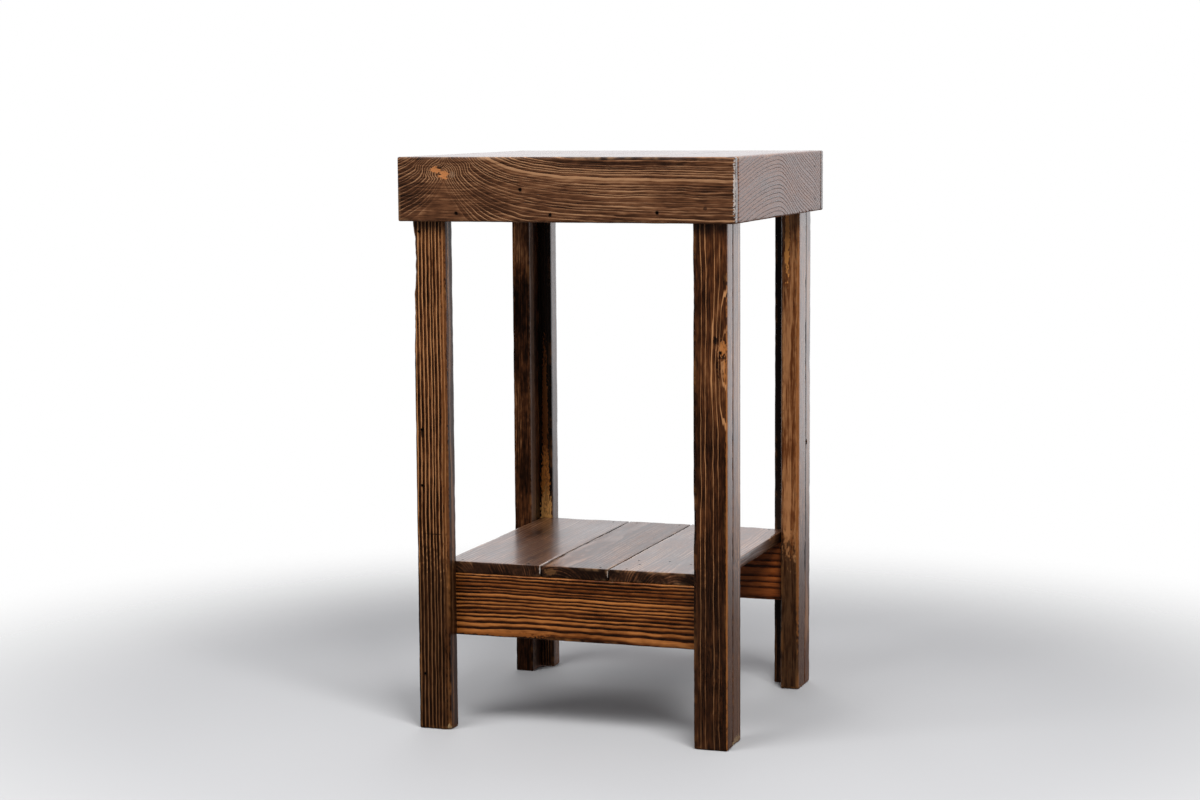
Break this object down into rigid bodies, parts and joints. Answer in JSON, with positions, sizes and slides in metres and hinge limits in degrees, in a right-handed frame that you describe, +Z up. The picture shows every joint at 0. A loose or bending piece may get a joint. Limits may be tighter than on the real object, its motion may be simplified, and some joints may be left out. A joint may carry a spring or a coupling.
{
  "type": "end table with shelf",
  "caption": "Square end table of dark stained boards: a deep apron round a flush plank top, L-shaped strip legs and a low plank shelf on rails.",
  "frame": {"origin": "on the floor under the middle of the table", "axes": "+Z up, the front towards -Y, +X to the right as seen from the front"},
  "size_m": [0.381, 0.381, 0.635],
  "materials": {
    "apron_wood": "dark stain under satin varnish",
    "top_wood": "dark stain under satin varnish",
    "leg_wood": "dark stain under satin varnish",
    "rail_wood": "dark stain under satin varnish",
    "shelf_wood": "dark stain under satin varnish",
    "cleat_wood": "dark stain, unvarnished",
    "nail_steel": "dulled by stain",
    "screw_steel": "zinc plated"
  },
  "bodies": {
    "root": {"apron_front": "apron_wood", "apron_back": "apron_wood", "apron_left": "apron_wood", "apron_right": "apron_wood", "top_plank_left": "top_wood", "top_plank_mid_left": "top_wood", "top_plank_mid_right": "top_wood", "top_plank_right": "top_wood", "front_left_leg_face": "leg_wood", "front_left_leg_side": "leg_wood", "front_right_leg_face": "leg_wood", "front_right_leg_side": "leg_wood", "back_left_leg_face": "leg_wood", "back_left_leg_side": "leg_wood", "back_right_leg_face": "leg_wood", "back_right_leg_side": "leg_wood", "shelf_rail_front": "rail_wood", "shelf_rail_back": "rail_wood", "shelf_plank_left": "shelf_wood", "shelf_plank_middle": "shelf_wood", "shelf_plank_right": "shelf_wood", "top_cleat_front": "cleat_wood", "top_cleat_back": "cleat_wood", "apron_nails": "nail_steel", "leg_nails": "nail_steel", "top_nails": "nail_steel", "shelf_nails": "nail_steel", "rail_screws": "screw_steel", "cleat_screws": "screw_steel"}
  },
  "joints": []
}
